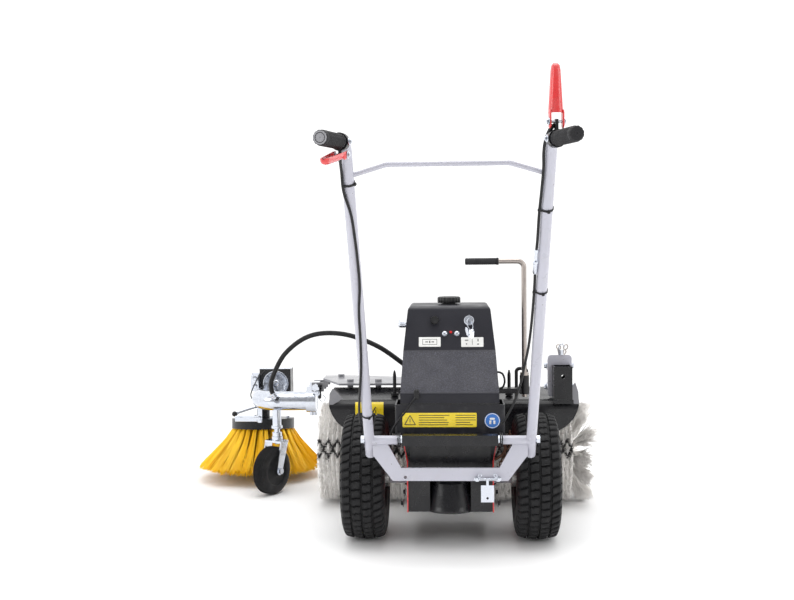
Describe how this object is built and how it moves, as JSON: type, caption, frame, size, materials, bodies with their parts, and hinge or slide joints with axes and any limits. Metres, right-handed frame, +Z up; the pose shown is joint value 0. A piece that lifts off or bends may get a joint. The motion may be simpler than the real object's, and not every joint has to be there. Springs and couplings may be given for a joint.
{
  "type": "walk-behind sweeper",
  "caption": "Walk-behind power sweeper with a swivelling front roller brush, a hinged side brush on a caster arm, two drive wheels and a folding handle.",
  "frame": {"origin": "on the floor, under the middle of the whole machine's outline", "axes": "+X to the operator's right, +Y forward in the direction of travel, +Z up"},
  "size_m": [1.2309, 1.7552, 1.1166],
  "materials": {
    "frame_grey": "light grey gloss paint",
    "plate_grey": "grey paint",
    "frame_red": "red gloss paint",
    "frame_black": "black satin paint",
    "hood_plastic": "pebbled charcoal plastic",
    "battery_case": "moulded case",
    "engine_alloy": "cast",
    "zinc": "bright zinc plate",
    "bare_steel": "drawn bar",
    "rim_paint": "grey paint",
    "tyre_rubber": "moulded rubber",
    "black_rubber": "satin rubber",
    "white_bristle": "crimped plastic bristle",
    "yellow_bristle": "plastic bristle"
  },
  "bodies": {
    "chassis": {"side_plates": "frame_red", "rear_housing": "frame_black", "bell_housing": "frame_black", "gearbox": "frame_grey", "handle_mount": "frame_black", "pivot_bolts": "zinc", "deck_plate": "frame_black", "battery_box": "hood_plastic", "battery": "battery_case", "engine_block": "engine_alloy", "fuel_tank": "hood_plastic", "engine_hood": "hood_plastic", "panel_fittings": "zinc", "nose_beam": "frame_black", "lever_bush": "frame_black"},
    "fuel_cap": {"fuel_cap": "hood_plastic"},
    "key": {"key": "zinc"},
    "choke": {"choke_knob": "hood_plastic"},
    "left_wheel": {"left_tyre": "tyre_rubber", "left_rim": "rim_paint", "left_axle": "bare_steel"},
    "right_wheel": {"right_tyre": "tyre_rubber", "right_rim": "rim_paint", "right_axle": "bare_steel"},
    "handle": {"left_handle_tube": "frame_grey", "right_handle_tube": "frame_grey", "handle_crossbar": "frame_grey", "lower_yoke": "frame_grey", "left_grip": "black_rubber", "right_grip": "black_rubber", "lever_brackets": "frame_black", "left_cable": "black_rubber", "right_cable": "black_rubber", "cable_ties": "black_rubber"},
    "left_lever": {"left_lever": "frame_red"},
    "right_lever": {"right_lever": "frame_red"},
    "latch": {"latch_pedal": "zinc"},
    "swivel_lever": {"swivel_rod": "bare_steel", "swivel_grip": "black_rubber"},
    "brush_head": {"brush_hood": "frame_black", "head_gearbox": "frame_black", "arm_plate": "plate_grey", "accessory_post": "frame_black", "post_bracket": "frame_grey", "post_clip": "zinc", "stop_studs": "frame_black", "shaft_takeoff": "frame_black", "flex_shaft": "black_rubber"},
    "roller": {"roller_shaft": "frame_black", "left_bristles": "white_bristle", "right_bristles": "white_bristle"},
    "side_arm": {"arm_clamp": "zinc", "arm_tube": "zinc", "side_drive": "frame_black", "caster_stem": "zinc"},
    "tilt_lever": {"tilt_lever": "zinc"},
    "side_brush": {"side_disc": "frame_black", "side_bristles": "yellow_bristle"},
    "caster_fork": {"caster_fork": "zinc"},
    "caster_wheel": {"caster_wheel": "tyre_rubber"}
  },
  "joints": [
    {"name": "left_wheel_spin", "type": "hinge", "parent": "chassis", "child": "left_wheel", "pos_m": [-0.0225, -0.00648, 0.165], "axis": [1, 0, 0], "continuous": true},
    {"name": "right_wheel_spin", "type": "hinge", "parent": "chassis", "child": "right_wheel", "pos_m": [0.4275, -0.00648, 0.165], "axis": [1, 0, 0], "continuous": true},
    {"name": "handle_tilt", "type": "hinge", "parent": "chassis", "child": "handle", "pos_m": [0.2025, -0.20648, 0.297], "axis": [1, 0, 0], "range_deg": [-10, 12]},
    {"name": "left_lever_pull", "type": "hinge", "parent": "handle", "child": "left_lever", "pos_m": [-0.00248, -0.74839, 0.94965], "axis": [-0.9833, 0.1822, 0], "range_deg": [0, 8], "stiffness_Nm_per_rad": 0.8, "springref_deg": -20.05},
    {"name": "right_lever_pull", "type": "hinge", "parent": "handle", "child": "right_lever", "pos_m": [0.40748, -0.74839, 1.00665], "axis": [0.9833, 0.1822, 0], "range_deg": [0, 70]},
    {"name": "latch_swing", "type": "hinge", "parent": "handle", "child": "latch", "pos_m": [0.2935, -0.21348, 0.201], "axis": [1, 0, 0], "range_deg": [-25, 25]},
    {"name": "swivel_lever_turn", "type": "hinge", "parent": "chassis", "child": "swivel_lever", "pos_m": [0.4105, 0.14352, 0.5], "axis": [0, 0, 1], "range_deg": [-60, 45]},
    {"name": "fuel_cap_turn", "type": "hinge", "parent": "chassis", "child": "fuel_cap", "pos_m": [0.2025, 0.09352, 0.6146], "axis": [0, 0, 1], "range_deg": [0, 120]},
    {"name": "key_turn", "type": "hinge", "parent": "chassis", "child": "key", "pos_m": [0.2545, -0.01939, 0.57604], "axis": [0, -0.9377, 0.3473], "range_deg": [0, 60]},
    {"name": "choke_pull", "type": "slide", "parent": "chassis", "child": "choke", "axis": [0, -0.9377, 0.3473], "range_m": [0, 0.018]},
    {"name": "head_swivel", "type": "hinge", "parent": "chassis", "child": "brush_head", "pos_m": [0.2025, 0.29352, 0.36], "axis": [0, 0, 1], "range_deg": [-10, 10]},
    {"name": "roller_spin", "type": "hinge", "parent": "brush_head", "child": "roller", "pos_m": [0.2125, 0.39352, 0.15], "axis": [1, 0, 0], "continuous": true},
    {"name": "arm_lift", "type": "hinge", "parent": "brush_head", "child": "side_arm", "pos_m": [-0.2135, 0.48552, 0.338], "axis": [0, 1, 0], "range_deg": [0, 80], "deforming": ["flex_shaft"]},
    {"name": "tilt_lever_turn", "type": "hinge", "parent": "side_arm", "child": "tilt_lever", "pos_m": [-0.4295, 0.71679, 0.23753], "axis": [0, 0.1132, 0.9936], "range_deg": [-15, 15]},
    {"name": "side_brush_spin", "type": "hinge", "parent": "side_arm", "child": "side_brush", "pos_m": [-0.4295, 0.71226, 0.19779], "axis": [0, 0.1132, 0.9936], "continuous": true},
    {"name": "caster_swivel", "type": "hinge", "parent": "side_arm", "child": "caster_fork", "pos_m": [-0.3445, 0.48552, 0.16], "axis": [0, 0, 1], "range_deg": [-40, 0]},
    {"name": "caster_roll", "type": "hinge", "parent": "caster_fork", "child": "caster_wheel", "pos_m": [-0.35858, 0.45903, 0.075], "axis": [-0.8829, 0.4695, 0], "continuous": true}
  ]
}
